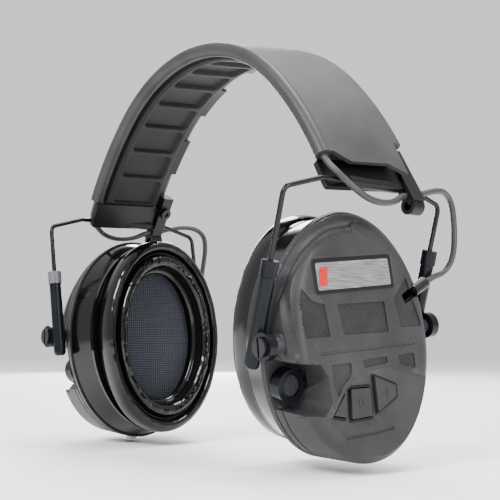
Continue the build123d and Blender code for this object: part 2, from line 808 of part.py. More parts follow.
with BuildPart() as battery_door:
    with BuildSketch(door_frame.plane):
        with Locations(door_spot):
            Rectangle(door_width, door_height)
    extrude(amount=door_thickness)
    low_edges = battery_door.faces().sort_by(Axis(door_frame.plane.origin, door_frame.plane.y_dir))[0].edges()
    fillet(low_edges.filter_by(Axis.Y), door_thickness / 2 - 0.01)
keep(battery_door, "battery_door")

# ---------------------------------------------------------------- audio jack
with BuildPart() as aux_jack:
    jack_start = -cup_drop - cup_half_height - jack_proud
    with BuildSketch(jack_plane(right_cup_frame, jack_start)):
        Circle(jack_collar_radius)
    extrude(amount=jack_proud / 2)
    with BuildSketch(jack_plane(right_cup_frame, jack_start)):
        Circle(jack_radius)
    extrude(amount=jack_length)
    with BuildSketch(jack_plane(right_cup_frame, jack_start)):
        Circle(jack_bore)
    extrude(amount=jack_length - wall, mode=Mode.SUBTRACT)
keep(aux_jack, "aux_jack")


# ---------------------------------------------------------------- link cable
def cable_tube(points, name):
    """Cable as straight runs with tangent arcs, each as wide as its runs allow."""
    radii = []
    for before, corner, after in zip(points, points[1:], points[2:]):
        into = Vector(*corner) - Vector(*before)
        away = Vector(*after) - Vector(*corner)
        turn = radians(into.get_angle(away))
        radii.append(0.45 * min(into.length, away.length) / tan(turn / 2))
    with BuildPart() as tube:
        with BuildLine() as run:
            FilletPolyline(*points, radius=radii)
        with BuildSketch(Plane(origin=run.line @ 0, z_dir=run.line % 0)):
            Circle(cable_radius)
        sweep()
    length = sum(edge.length for edge in run.line.edges())
    section = pi * cable_radius**2 * length
    print(name, "length", round(length, 1), "smallest radius", round(min(radii), 1),
          "volume ratio", round(tube.part.volume / section, 3))
    return tube


def crossover_points(side):
    """Cable from the front tube's mouth, over the bare cross wire and round to the clip's channel."""
    channel = hinge_run + channel_run
    spots = (
        (-tube_inset, -edge_offset, 0),
        (4.0, -edge_offset, 0.3),
        (12.5, -21.2, 2.6),
        (19.0, -15.5, 1.8),
        (23.6, -8.0, 0.0),
        (24.4, 2.0, -2.0),
        (22.0, 12.0, -3.6),
        (channel, clip_front - 1.5, channel_out),
        (channel, clip_rear - fit_gap, channel_out),
    )
    return [band_point(side, *spot) for spot in spots]


def loop_points(side, cup, lower_out, lower_drop):
    """Hanging loop from the clip, round behind the sleeve and into the cup's gland."""
    gland = gland_plane(cup)
    drop = (
        (106.5, 43.0, -74.5),
        (102.5, 56.0, -75.5),
        (101.0, 62.0, -83.5),
        (101.5 + lower_out, 61.5, -105.0 - lower_drop),
        (98.5 + lower_out, 57.5, -113.5 - lower_drop),
    )
    return (
        [band_point(side, hinge_run + channel_run, clip_rear + fit_gap, channel_out)]
        + [Vector(side * x, y, z) for x, y, z in drop]
        + [gland.origin + gland.z_dir * (gland_length + 3 * cable_radius), gland.origin + gland.z_dir]
    )


with BuildPart() as cable_in_band:
    with BuildSketch(section_plane(-pad_half_run + tube_inset + fit_gap)):
        with Locations((-edge_offset, 0)):
            Circle(cable_radius)
    sweep(path=band_path(-pad_half_run + tube_inset + fit_gap, pad_half_run - tube_inset - fit_gap))
keep(cable_in_band, "cable_in_band")

loops = (
    (1, "left", left_cup_frame, 0.0, 0.0),
    (-1, "right", right_cup_frame, 5.0, 4.0),
)
for side, name, cup, lower_out, lower_drop in loops:
    crossover = cable_tube(crossover_points(side), name + "_cable_crossover")
    keep(crossover, name + "_cable_crossover")
    loop = cable_tube(loop_points(side, cup, lower_out, lower_drop), name + "_cable_loop")
    keep(loop, name + "_cable_loop")
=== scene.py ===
# %% [markdown]
# # Electronic earmuff
# A folding headband with two ear cups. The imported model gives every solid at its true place, in metres.
# This lesson loads it, adds the camera and the cables, then the soft and moulded pieces, then the finishes.

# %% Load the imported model
import json
from math import cos, exp, hypot, pi, radians, sin

import bmesh
import bpy
from mathutils import Matrix, Vector, noise

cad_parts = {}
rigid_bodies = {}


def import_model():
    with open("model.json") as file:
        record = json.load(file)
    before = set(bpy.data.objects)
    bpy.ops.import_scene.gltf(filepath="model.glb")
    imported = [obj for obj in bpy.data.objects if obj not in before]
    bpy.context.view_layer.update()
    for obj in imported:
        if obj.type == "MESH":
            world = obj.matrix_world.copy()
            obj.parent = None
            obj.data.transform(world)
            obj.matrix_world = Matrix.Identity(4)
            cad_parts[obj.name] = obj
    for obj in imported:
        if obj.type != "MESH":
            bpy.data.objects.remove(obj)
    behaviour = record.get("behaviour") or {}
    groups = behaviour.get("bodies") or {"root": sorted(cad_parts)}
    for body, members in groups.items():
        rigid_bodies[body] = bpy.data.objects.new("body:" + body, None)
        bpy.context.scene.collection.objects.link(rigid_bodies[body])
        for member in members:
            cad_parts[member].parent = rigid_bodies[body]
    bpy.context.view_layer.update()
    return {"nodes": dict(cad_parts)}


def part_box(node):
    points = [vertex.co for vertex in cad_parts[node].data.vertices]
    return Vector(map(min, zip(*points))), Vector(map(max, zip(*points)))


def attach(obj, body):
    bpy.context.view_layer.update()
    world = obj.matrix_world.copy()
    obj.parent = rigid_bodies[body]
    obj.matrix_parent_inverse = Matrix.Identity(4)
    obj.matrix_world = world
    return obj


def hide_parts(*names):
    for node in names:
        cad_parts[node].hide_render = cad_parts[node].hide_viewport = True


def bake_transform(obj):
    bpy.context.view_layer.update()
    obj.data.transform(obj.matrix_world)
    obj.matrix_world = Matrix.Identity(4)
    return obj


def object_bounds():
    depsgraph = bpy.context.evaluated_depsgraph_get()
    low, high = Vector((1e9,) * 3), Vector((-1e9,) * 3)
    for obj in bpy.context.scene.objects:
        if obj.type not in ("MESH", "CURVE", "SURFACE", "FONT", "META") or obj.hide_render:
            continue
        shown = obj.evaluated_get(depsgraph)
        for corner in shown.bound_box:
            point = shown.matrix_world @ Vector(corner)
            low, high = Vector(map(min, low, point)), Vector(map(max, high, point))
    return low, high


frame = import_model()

MM = 0.001
nodes = frame["nodes"]
for thing in bpy.context.selected_objects:
    thing.select_set(False)

# %% [markdown]
# ## Camera
# A long lens, a little under the band, turned so that one cup shows its face and the other its cushion.
# The camera's own axes are worked out from three angles, so the view can be read and changed.

# %% Camera
azimuth, elevation, roll = radians(50.44), radians(-5.11), radians(0.19)
back = Vector((sin(azimuth) * cos(elevation), -cos(azimuth) * cos(elevation), sin(elevation)))
right = Vector((cos(azimuth), sin(azimuth), 0))
upward = back.cross(right)
turned_right = right * cos(roll) + upward * sin(roll)
turned_up = upward * cos(roll) - right * sin(roll)
camera_data = bpy.data.cameras.new("camera")
camera_data.lens = 72
camera_data.sensor_width = 36
camera = bpy.data.objects.new("camera", camera_data)
bpy.context.scene.collection.objects.link(camera)
camera.matrix_world = Matrix.Translation((0.4150, -0.3279, -0.1464)) @ Matrix(
    (turned_right, turned_up, back)
).transposed().to_4x4()
bpy.context.scene.camera = camera
print("camera looks along", tuple(round(-part, 3) for part in back))

# %% [markdown]
# ## The frame's own axes
# Each cup leans, so its pieces are easiest to place in the cup's own axes: rearwards, up and outwards.
# The sizes are those of the frame, in millimetres, and every helper gives metres.

# %% Band, bail and cup axes
CROWN_RADIUS, CROWN_HALF_ANGLE = 95.5, 43.5
SIDE_RADIUS, SIDE_ANGLE = 182.5, 17.0
PAD_DEPTH, BAND_RAKE, EDGE_OFFSET = 5.5, 6.2, 23.1
HINGE_RUN, HINGE_DEPTH, PIVOT_RUN, PIVOT_OFFSET = 13.0, 2.9, 69.0, 6.9
CROWN_RUN = CROWN_RADIUS * radians(CROWN_HALF_ANGLE)
PAD_HALF_RUN = CROWN_RUN + SIDE_RADIUS * radians(SIDE_ANGLE)
rearward = Vector((0, 1, 0))


def station(run):
    """Point and outward normal of the band's middle line, run mm to the wearer's left of the crown."""
    side = -1 if run < 0 else 1
    length = abs(run)
    first = radians(CROWN_HALF_ANGLE)
    angle = min(length / CROWN_RADIUS, first)
    x = CROWN_RADIUS * sin(angle)
    z = PAD_DEPTH - CROWN_RADIUS * (1 - cos(angle))
    if length > CROWN_RUN:
        angle = min(first + (length - CROWN_RUN) / SIDE_RADIUS, first + radians(SIDE_ANGLE))
        x += SIDE_RADIUS * (sin(angle) - sin(first))
        z -= SIDE_RADIUS * (cos(first) - cos(angle))
    if length > PAD_HALF_RUN:
        x += (length - PAD_HALF_RUN) * cos(angle)
        z -= (length - PAD_HALF_RUN) * sin(angle)
    return Vector((side * x, 0, z)), Vector((side * sin(angle), 0, cos(angle)))


def band_point(run, across, out):
    """Point of the raked band in metres: across rearwards, out away from the head."""
    point, normal = station(run)
    rake = radians(BAND_RAKE)
    along_width = rearward * cos(rake) + normal * sin(rake)
    thickness = normal * cos(rake) - rearward * sin(rake)
    return (point + along_width * across + thickness * out) * MM


def axes(origin, rear, up, out):
    """A placed frame as one matrix, from an origin in mm to points in metres."""
    matrix = Matrix((rear, up, out)).transposed().to_4x4() * MM
    matrix.translation = origin * MM
    return matrix


def bail_axes(side, fold):
    point, normal = station(side * (PAD_HALF_RUN + HINGE_RUN))
    lean = radians(fold)
    out = Vector((side * cos(lean), 0, -sin(lean)))
    return axes(point - normal * HINGE_DEPTH, rearward, Vector((side * sin(lean), 0, cos(lean))), out)


def cup_axes(side, bail, tilt, twist):
    lean, turn = radians(tilt), radians(twist)
    out = Vector((side * cos(lean), 0, -sin(lean)))
    up = Vector((side * sin(lean), 0, cos(lean)))
    rear = rearward * cos(turn) + up * sin(turn)
    upright = up * cos(turn) - rearward * sin(turn)
    return axes((bail @ Vector((0, -PIVOT_RUN, PIVOT_OFFSET))) / MM, rear, upright, out)


bails = {"left": bail_axes(1, 15.5), "right": bail_axes(-1, 10.3)}
cups = {"left": cup_axes(1, bails["left"], 8.3, 5.8), "right": cup_axes(-1, bails["right"], 3.7, 0.0)}
for name, cup in cups.items():
    print(name, "cup pivots at", tuple(round(part / MM, 1) for part in cup.translation))

FACE_DEPTH, FACE_SLOPE, CUP_DROP = 10.0, 14.0, 1.5
slope = radians(FACE_SLOPE)


def face_axes(cup):
    """The sloping face of a cup: rearwards, up along the slope, and outwards."""
    rear, up, out = (cup.col[part].to_3d() / MM for part in range(3))
    return axes((cup @ Vector((0, 0, FACE_DEPTH))) / MM, rear, up * cos(slope) - out * sin(slope),
                out * cos(slope) + up * sin(slope))


faces = {name: face_axes(cup) for name, cup in cups.items()}

# %% [markdown]
# ## Link cable
# One thin rubber cable joins the two cups. It leaves the front tube of the band, crosses the bare
# hinge wire, passes through the clip and hangs in a loop to the cup. A NURBS curve through a few
# control points gives the easy line of a real cable. The hanging loop crosses three joints, so it is
# a round mesh in three lengths.

# %% Cable route helpers
CABLE_RADIUS = 1.5
TUBE_INSET, CLIP_FRONT, CLIP_REAR, FIT_GAP = 1.5, 20.4, 27.8, 0.2
CHANNEL_RUN, CHANNEL_OUT = 4.4, -4.3


def nurbs_line(name, points):
    """An open NURBS curve with these control points, in metres."""
    data = bpy.data.curves.new(name, "CURVE")
    data.dimensions = "3D"
    data.resolution_u = 24
    spline = data.splines.new("NURBS")
    spline.points.add(len(points) - 1)
    for control, point in zip(spline.points, points):
        control.co = (*point, 1)
    spline.order_u = 3
    spline.use_endpoint_u = True
    piece = bpy.data.objects.new(name, data)
    bpy.context.scene.collection.objects.link(piece)
    return piece


def line_points(curve):
    """The points along a curve with no bevel, as Blender draws it."""
    bpy.context.view_layer.update()
    mesh = bpy.data.meshes.new_from_object(curve.evaluated_get(bpy.context.evaluated_depsgraph_get()))
    points = [vertex.co.copy() for vertex in mesh.vertices]
    bpy.data.meshes.remove(mesh)
    return points


def mesh_piece(name, points, quads):
    """A mesh piece from points in metres and faces, with its normals made consistent."""
    mesh = bpy.data.meshes.new(name)
    mesh.from_pydata([tuple(point) for point in points], [], quads)
    mesh.update()
    piece = bpy.data.objects.new(name, mesh)
    bpy.context.scene.collection.objects.link(piece)
    shaper = bmesh.new()
    shaper.from_mesh(mesh)
    bmesh.ops.recalc_face_normals(shaper, faces=shaper.faces)
    shaper.to_mesh(mesh)
    shaper.free()
    mesh.shade_smooth()
    return piece


def round_tube(name, line, radius, around=20):
    """A closed round tube that follows a line of points without twisting."""
    points, rings = [], len(line)
    side = (line[1] - line[0]).orthogonal().normalized()
    for place, centre in enumerate(line):
        heading = (line[min(place + 1, rings - 1)] - line[max(place - 1, 0)]).normalized()
        side = (side - heading * side.dot(heading)).normalized()
        other = heading.cross(side)
        for step in range(around):
            angle = 2 * pi * step / around
            points.append(centre + (side * cos(angle) + other * sin(angle)) * radius)
    quads = [
        (ring * around + step, ring * around + (step + 1) % around,
         (ring + 1) * around + (step + 1) % around, (ring + 1) * around + step)
        for ring in range(rings - 1) for step in range(around)
    ]
    quads += [tuple(range(around))[::-1], tuple(range((rings - 1) * around, rings * around))]
    return mesh_piece(name, points, quads)


def run_length(line):
    return sum((after - before).length for before, after in zip(line, line[1:]))


# %% Crossovers over the hinge wires
def crossover_points(side):
    channel = HINGE_RUN + CHANNEL_RUN
    spots = (
        (-TUBE_INSET, -EDGE_OFFSET, 0),
        (4.0, -EDGE_OFFSET, 0.3),
        (12.5, -21.2, 2.6),
        (19.0, -15.5, 1.8),
        (23.6, -8.0, 0.0),
        (24.4, 2.0, -2.0),
        (22.0, 12.0, -3.6),
        (channel, CLIP_FRONT - 1.5, CHANNEL_OUT),
        (channel, CLIP_REAR - FIT_GAP, CHANNEL_OUT),
    )
    return [band_point(side * (PAD_HALF_RUN + past), across, out) for past, across, out in spots]


for side, name in ((1, "left"), (-1, "right")):
    guide = nurbs_line(name + "_crossover_guide", crossover_points(side))
    line = line_points(guide)
    bpy.data.objects.remove(guide)
    piece = round_tube(name + "_crossover_cable", line, CABLE_RADIUS * MM)
    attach(piece, "headband")
    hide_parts(name + "_cable_crossover")

# %% Hanging loops from the clips to the cups
GLAND_MIDDLE, GLAND_OUT, GLAND_LEAN, GLAND_LENGTH = (36.5, 18.3), 3.8, 24.0, 9.0


def loop_points(side, cup, lower_out, lower_drop):
    drop = (
        (106.5, 43.0, -74.5),
        (102.5, 56.0, -75.5),
        (101.0, 62.0, -83.5),
        (101.5 + lower_out, 61.5, -105.0 - lower_drop),
        (98.5 + lower_out, 57.5, -113.5 - lower_drop),
    )
    gland = cup @ Vector((*GLAND_MIDDLE, GLAND_OUT))
    lean = radians(GLAND_LEAN)
    away = (cup.col[0].to_3d() * cos(lean) + cup.col[1].to_3d() * sin(lean)).normalized() * MM
    start = band_point(side * (PAD_HALF_RUN + HINGE_RUN + CHANNEL_RUN), CLIP_REAR + FIT_GAP, CHANNEL_OUT)
    return (
        [start] + [Vector((side * x, y, z)) * MM for x, y, z in drop]
        + [gland + away * (GLAND_LENGTH + 3 * CABLE_RADIUS), gland + away]
    )


for side, name, lower_out, lower_drop in ((1, "left", 0.0, 0.0), (-1, "right", 5.0, 4.0)):
    guide = nurbs_line(name + "_loop_guide", loop_points(side, cups[name], lower_out, lower_drop))
    line = line_points(guide)
    bpy.data.objects.remove(guide)
    total, parts, walked = run_length(line), [[line[0]]], 0.0
    for before, after in zip(line, line[1:]):
        walked += (after - before).length
        parts[-1].append(after)
        if walked > total * len(parts) / 3 and len(parts) < 3:
            parts.append([after])
    pairs = (("headband", name + "_bail"), (name + "_bail", name + "_yoke"), (name + "_yoke", name + "_cup"))
    for number, (part, pair) in enumerate(zip(parts, pairs), 1):
        piece = round_tube(f"{name}_loop_cable_{number}", part, CABLE_RADIUS * MM)
        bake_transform(piece)
        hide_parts(name + "_cable_loop")
        print(piece.name, round(run_length(part) / MM, 1), "mm")

# %% [markdown]
# ## Shaping helpers
# Cut-outs are prisms and round tools, as a milling cutter would leave. Each one is made at its place,
# and a Boolean modifier takes it out of a copy of the shell. The copy's loose triangles are merged first.

# %% Shaping helpers
finish_of = {}


def record_piece(piece, body, slot, *replaced):
    """Say what a finished piece rides on, its slot and the solids it stands for."""
    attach(piece, body)
    if replaced:
        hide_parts(*replaced)
    finish_of[piece.name] = slot
    return piece


def only(piece):
    """Make this the one selected and active object."""
    bpy.ops.object.select_all(action="DESELECT")
    piece.select_set(True)
    bpy.context.view_layer.objects.active = piece


def rounded(outline, radius, steps=4):
    """An outline with its corners rounded by quadratic curves."""
    corners = []
    for before, corner, after in zip(outline[-1:] + outline[:-1], outline, outline[1:] + outline[:1]):
        here = Vector(corner)
        into, away = Vector(before) - here, Vector(after) - here
        start = here + into.normalized() * min(radius, into.length * 0.45)
        end = here + away.normalized() * min(radius, away.length * 0.45)
        for step in range(steps + 1):
            part = step / steps
            corners.append(start * (1 - part) ** 2 + here * 2 * part * (1 - part) + end * part ** 2)
    return corners


def prism(name, place, outline, low, high, inset=0.0):
    """A closed prism between two depths of a frame. The low end is smaller by the inset."""
    middle = sum((Vector(p) for p in outline), Vector((0, 0))) / len(outline)
    points = []
    for depth, shrink in ((low, inset), (high, 0.0)):
        for corner in outline:
            flat = Vector(corner)
            flat += (middle - flat).normalized() * shrink
            points.append(place @ Vector((*flat, depth)))
    count = len(outline)
    quads = [(step, (step + 1) % count, count + (step + 1) % count, count + step) for step in range(count)]
    quads += [tuple(range(count)), tuple(range(count, 2 * count))]
    piece = mesh_piece(name, points, quads)
    piece.data.shade_flat()
    return piece


def welded_copy(name, node):
    """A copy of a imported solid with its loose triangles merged."""
    piece = bpy.data.objects.new(name, nodes[node].data.copy())
    bpy.context.scene.collection.objects.link(piece)
    shaper = bmesh.new()
    shaper.from_mesh(piece.data)
    bmesh.ops.remove_doubles(shaper, verts=shaper.verts, dist=0.002 * MM)
    shaper.to_mesh(piece.data)
    shaper.free()
    return piece


def cut(piece, tools):
    """Take each tool out of a piece, and throw the tool away."""
    for tool in tools:
        only(piece)
        change = piece.modifiers.new("cut", "BOOLEAN")
        change.operation, change.object, change.solver = "DIFFERENCE", tool, "EXACT"
        change.material_mode = "TRANSFER"
        bpy.ops.object.modifier_apply(modifier="cut")
        bpy.data.objects.remove(tool)


def surface_ring(piece, cup, out, offset, steps=180):
    """Points round a shell at one depth, offset mm inside its surface, found by rays."""
    middle = cup @ Vector((0, -CUP_DROP, out))
    ring = []
    for step in range(steps):
        angle = 2 * pi * step / steps
        away = (cup @ Vector((cos(angle), sin(angle) - CUP_DROP, out)) - middle).normalized()
        hit, point, _, _ = piece.ray_cast(middle + away * 90 * MM, -away)
        if hit:
            ring.append(point - away * offset * MM)
    return ring


def ring_tube(name, ring, radius, around=10):
    """A closed tube round a closed ring of points."""
    count, points = len(ring), []
    centre = sum(ring, Vector()) / count
    axis = (ring[0] - centre).cross(ring[count // 4] - centre).normalized()
    for place, point in enumerate(ring):
        heading = (ring[(place + 1) % count] - ring[place - 1]).normalized()
        side = heading.cross(axis).normalized()
        for step in range(around):
            angle = 2 * pi * step / around
            points.append(point + (side * cos(angle) + axis * sin(angle)) * radius * MM)
    quads = [
        (place * around + step, place * around + (step + 1) % around,
         (place + 1) % count * around + (step + 1) % around, (place + 1) % count * around + step)
        for place in range(count) for step in range(around)
    ]
    return mesh_piece(name, points, quads)


def groove(name, place, points, radius):
    """A round groove tool through points of a frame."""
    return round_tube(name, [place @ Vector(point) for point in points], radius * MM, 12)


# %% [markdown]
# ## Face of the left cup
# The soft-touch face has sunken panels with a coarser grain, a long groove, a lower crease and a
# double seam line round its side. All of them are cuts, so that they catch the light as the mould does.

# %% Cut the left face
face = faces["left"]
panels = {
    "upper_front": [(-36.2, 26.5), (-37.0, 22.2), (-36.4, 3.0), (-21.6, 2.6), (-22.3, 17.2), (-29.8, 19.4)],
    "upper_middle": [(-16.0, 16.9), (14.8, 16.0), (14.8, 1.5), (-14.1, 2.7)],
    "upper_rear": [(31.2, 26.4), (20.7, 16.9), (22.7, 2.7), (37.4, 2.2)],
    "lower_front": [(-24.2, -9.0), (-11.6, -9.2), (-12.4, -15.4), (-18.4, -19.6), (-22.6, -24.0),
                    (-24.6, -19.0)],
    "lower_middle": [(-5.6, -9.2), (11.4, -9.0), (11.5, -12.2), (-4.8, -13.0)],
    "lower_rear": [(17.5, -9.3), (29.5, -9.2), (29.3, -16.8), (18.1, -13.8)],
}
PANEL_SINK, PANEL_BEVEL, PANEL_ROUND = 0.55, 0.4, 1.1
panel_grain_and_shade_marker = bpy.data.materials.new("coarse_grain_and_shade_panel")
shells = {name: welded_copy(name + "_outer_shell_face", name + "_outer_shell") for name in cups}
shell = shells["left"]
tools = [prism(name, face, rounded(outline, PANEL_ROUND), -PANEL_SINK, 6.0, PANEL_BEVEL)
         for name, outline in panels.items()]
# The tools carry a stand-in material. The faces they cut later get the darker panel colour, which is painted
# shade.
for tool in tools:
    tool.data.materials.append(panel_grain_and_shade_marker)
cut(shell, tools)
# A shallow valley runs between the plateau and the rim, up the front and over the top.
VALLEY_RADIUS, VALLEY_DEPTH = 6.0, 0.75
normal = face.col[2].to_3d().normalized()
valley = []
for u, w in ((-41.2, -4.0), (-42.2, 4.0), (-42.2, 12.0), (-41.0, 21.0), (-38.0, 30.0), (-32.5, 38.0),
             (-25.0, 44.5), (-16.0, 48.6), (-6.0, 50.8), (4.0, 51.2)):
    hit, point, away, _ = shell.ray_cast(face @ Vector((u, w, 40)), -normal)
    if hit:
        valley.append(point + away * (VALLEY_RADIUS - VALLEY_DEPTH) * MM)
guide = nurbs_line("valley_guide", valley)
cut(shell, [round_tube("valley_tool", line_points(guide)[::6], VALLEY_RADIUS * MM, 48)])
bpy.data.objects.remove(guide)
cut(shell, [
    groove("long_groove", face, [(-29.3, -4.1, 0.2), (0, -4.7, 0.2), (30.6, -5.1, 0.2), (31.9, -4.2, 0.2),
                                 (31.9, -2.0, 0.2)], 0.75),
    groove("lower_crease", face, [(-20.0, -41.6, -1.5), (-1.3, -42.0, -1.5), (10.4, -41.4, -1.5)], 0.7),
])
for name, cup in cups.items():
    for out, deep in ((-3.2, 0.1), (-7.6, 0.1)):
        cut(shells[name], [ring_tube("seam_tool", surface_ring(shells[name], cup, out, deep), 0.55)])
for name, piece in shells.items():
    only(piece)
    bpy.ops.object.shade_smooth_by_angle(angle=radians(32))
    even = piece.modifiers.new("even", "WEIGHTED_NORMAL")
    even.keep_sharp, even.weight = True, 100
    bpy.ops.object.modifier_apply(modifier="even")
    record_piece(piece, name + "_cup", "shell_rubberised", name + "_outer_shell")
    print(piece.name, len(piece.data.polygons), "faces")

# %% [markdown]
# ## Badge frame and key marks
# The chrome plate sits in a thick black frame, with a plain red bar at one end. The keys carry the
# usual minus, zero and plus, as thin raised marks.

# %% Badge frame
BADGE_MIDDLE, BADGE_SIZE = (-2.4, 29.4), (48.0, 14.4)


def rectangle(middle, size, slant=0.0):
    half_width, half_height = size[0] / 2, size[1] / 2
    return [(middle[0] + x * half_width + y * slant, middle[1] + y * half_height)
            for x, y in ((-1, -1), (1, -1), (1, 1), (-1, 1))]


bezel = prism("badge_frame", face, rounded(rectangle(BADGE_MIDDLE, (49.6, 16.0)), 1.6), -0.3, 0.25)
cut(bezel, [prism("badge_window", face, rounded(rectangle(BADGE_MIDDLE, (45.6, 12.0)), 1.0), -3, 3)])
only(bezel)
soften = bezel.modifiers.new("soften", "BEVEL")
soften.width, soften.segments, soften.angle_limit = 0.3 * MM, 3, radians(50)
bpy.ops.object.modifier_apply(modifier="soften")
bpy.ops.object.shade_smooth_by_angle(angle=radians(40))
record_piece(bezel, "left_cup", "gloss_shell")
finish_of[bezel.name] = "trim_plastic"
bar = prism("red_bar", face, rounded(rectangle((-21.4, 29.4), (5.0, 8.4), 0.8), 0.5), -0.6, 0.3)
record_piece(bar, "left_cup", "badge_chrome")
finish_of[bar.name] = "red_paint"


# %% [markdown]
# Each rubber key comes up through a hole in the panel. A flat dark surround round it is painted shade:
# it stands for the shaded gap, which is too narrow to read from here. A larger outline with the key cut out
# gives it.

# %% Painted gap shade round the keys
KEYS = {
    "minus": [(-17.9, -22.9), (-19.3, -32.6), (-26.0, -30.9)],
    "zero": [(-13.9, -21.2), (-2.2, -21.8), (-3.3, -34.2), (-15.6, -33.9)],
    "plus": [(1.8, -17.3), (14.2, -22.8), (13.4, -27.6), (1.0, -33.0)],
}
PANEL_FLOOR = -1.6


def grown(outline, reach):
    """The outline with each corner moved away from its middle."""
    middle = sum((Vector(p) for p in outline), Vector((0, 0))) / len(outline)
    return [tuple(Vector(p) + (Vector(p) - middle).normalized() * reach) for p in outline]


for name, outline in KEYS.items():
    # A flat dark ring below the face round each key hole: painted shade in the gap.
    ring = prism(name + "_key_surround", face, rounded(grown(outline, 2.3), 1.6), PANEL_FLOOR - 0.3,
                 PANEL_FLOOR + 0.12)
    cut(ring, [prism("key_window", face, rounded(grown(outline, 0.75), 0.8), -6, 6)])
    record_piece(ring, "left_cup", "trim_plastic")


# %% Key marks
def mark(name, outline, body):
    piece = record_piece(prism(name, face, outline, -0.7, -0.25), body, "key_rubber")
    finish_of[name] = "mark_print"
    return piece


plus_middle, zero_middle, minus_middle = (8.0, -25.4), (-8.7, -27.8), (-21.2, -29.2)
mark("minus_mark", rectangle(minus_middle, (3.0, 0.8)), "minus_key")
mark("plus_mark_flat", rectangle(plus_middle, (5.0, 0.9)), "plus_key")
mark("plus_mark_upright", rectangle(plus_middle, (0.9, 5.0)), "plus_key")
oval = [Vector((zero_middle[0] + 1.6 * cos(2 * pi * s / 32), zero_middle[1] + 2.4 * sin(2 * pi * s / 32)))
        for s in range(32)]
hole = [Vector((zero_middle[0] + 0.9 * cos(2 * pi * s / 32), zero_middle[1] + 1.7 * sin(2 * pi * s / 32)))
        for s in range(32)]
zero = prism("zero_mark", face, oval, -0.7, -0.25)
cut(zero, [prism("zero_hole", face, hole, -3, 3)])
record_piece(zero, "zero_key", "key_rubber")
finish_of[zero.name] = "mark_print"

# %% [markdown]
# ## Ear cushions
# Each cushion is a ring of soft PVC over foam: a fat outer roll, a sewn valley, a raised inner roll
# and a thin lip round the mesh. One closed profile is carried round an oval, and small folds are
# pressed into the rolls where the skin is gathered.

# %% Ear cushions
SEAL_START, SEAL_HALF, EAR_HALF = -28.5, (38.2, 54.6), (25.0, 38.0)
profile = [(0.10, 0.0), (0.0, 1.6), (-0.01, 9.0), (0.09, 12.6), (0.27, 13.4), (0.40, 11.0), (0.455, 9.4),
           (0.51, 11.0), (0.60, 13.8), (0.79, 14.0), (0.93, 12.2), (1.0, 8.4), (1.0, 6.2), (1.06, 5.8),
           (1.13, 4.8), (1.12, 3.0), (1.0, 1.0), (0.9, 0.0)]
for _ in range(3):
    profile = [(a[0] * k + b[0] * (1 - k), a[1] * k + b[1] * (1 - k))
               for a, b in zip(profile, profile[1:] + profile[:1]) for k in (0.75, 0.25)]
AROUND = 420


def fold(angle, share, seed):
    """Depth in mm of the folds at one place of a cushion."""
    spot = Vector((cos(angle) * 5.5, sin(angle) * 5.5, share * 1.6 + seed))
    gather = noise.noise(spot * 1.5) * 0.75 + noise.noise(spot * 3.1) * 0.3
    inner = exp(-((share - 0.72) / 0.24) ** 2)
    outer = exp(-((share - 0.12) / 0.2) ** 2)
    return gather * (0.85 * inner + 0.45 * outer)


for name, cup in cups.items():
    seed = 3.7 if name == "right" else 11.2
    points = []
    for step in range(AROUND):
        angle = 2 * pi * step / AROUND
        for share, height in profile:
            half = [outer + (inner - outer) * share for outer, inner in zip(SEAL_HALF, EAR_HALF)]
            lift = height + fold(angle, share, seed) * min(1.0, height / 6)
            points.append(cup @ Vector((half[0] * cos(angle), half[1] * sin(angle) - CUP_DROP,
                                        SEAL_START - lift)))
    size = len(profile)
    quads = [(step * size + k, step * size + (k + 1) % size,
              (step + 1) % AROUND * size + (k + 1) % size, (step + 1) % AROUND * size + k)
             for step in range(AROUND) for k in range(size)]
    piece = mesh_piece(name + "_cushion", points, quads)
    record_piece(piece, name + "_cup", "seal_vinyl", name + "_seal")
    print(piece.name, len(quads), "faces")

# %% [markdown]
# A foam pad lies at the bottom of each cup, under an open knitted mesh. It is an oval that rises a
# little to its middle and has slight lumps, so the mesh over it does not look like a flat plate.

# %% Mesh-covered liners
for name, cup in cups.items():
    low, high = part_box(name + "_liner")
    half_width, half_height = (high[1] - low[1]) / 2 / MM, (high[2] - low[2]) / 2 / MM
    rows, points = 40, []
    for face_out, crown in ((-25.7, -2.2), (-19.9, 0.0)):
        for row in range(rows + 1):
            share = row / rows
            edge = 1.6 * max(0.0, (share - 0.9) / 0.1) ** 2
            for step in range(120):
                angle = 2 * pi * step / 120
                lump = noise.noise(Vector((share * 3 * cos(angle), share * 3 * sin(angle), 2.0))) * 0.5
                depth = face_out + (crown * (1 - share ** 2) + lump + edge if crown else -edge)
                reach = max(share, 0.004) * 0.995
                points.append(cup @ Vector((half_width * reach * cos(angle),
                                            half_height * reach * sin(angle) - CUP_DROP, depth)))
    half_count = (rows + 1) * 120
    quads = [(base + row * 120 + step, base + row * 120 + (step + 1) % 120,
              base + (row + 1) * 120 + (step + 1) % 120, base + (row + 1) * 120 + step)
             for base in (0, half_count) for row in range(rows) for step in range(120)]
    rim, other = rows * 120, half_count + rows * 120
    quads += [(rim + s, rim + (s + 1) % 120, other + (s + 1) % 120, other + s) for s in range(120)]
    quads += [tuple(range(120)), tuple(range(half_count, half_count + 120))]
    piece = mesh_piece(name + "_mesh_liner", points, quads)
    record_piece(piece, name + "_cup", "mesh_fabric", name + "_liner")

# %% [markdown]
# ## Headband pad
# The pad is a soft strip with fourteen sunken pockets between raised ribs, all with rounded edges.
# Its depth is a smooth function of the place along and across it, so one grid makes the whole face.

# %% Headband pad
POCKETS, POCKET_LENGTH, POCKET_DEPTH, LAND = 14, 14.8, 2.4, 4.0
PAD_HALF_WIDTH = EDGE_OFFSET - 3.9
pad_low, pad_high = -PAD_DEPTH, 0.2
pitch = 2 * PAD_HALF_RUN / POCKETS


def step_edge(value, width):
    """0 to 1, with an eased rise over a width, for soft moulded edges."""
    part = min(max(value / width + 0.5, 0.0), 1.0)
    return part * part * (3 - 2 * part)


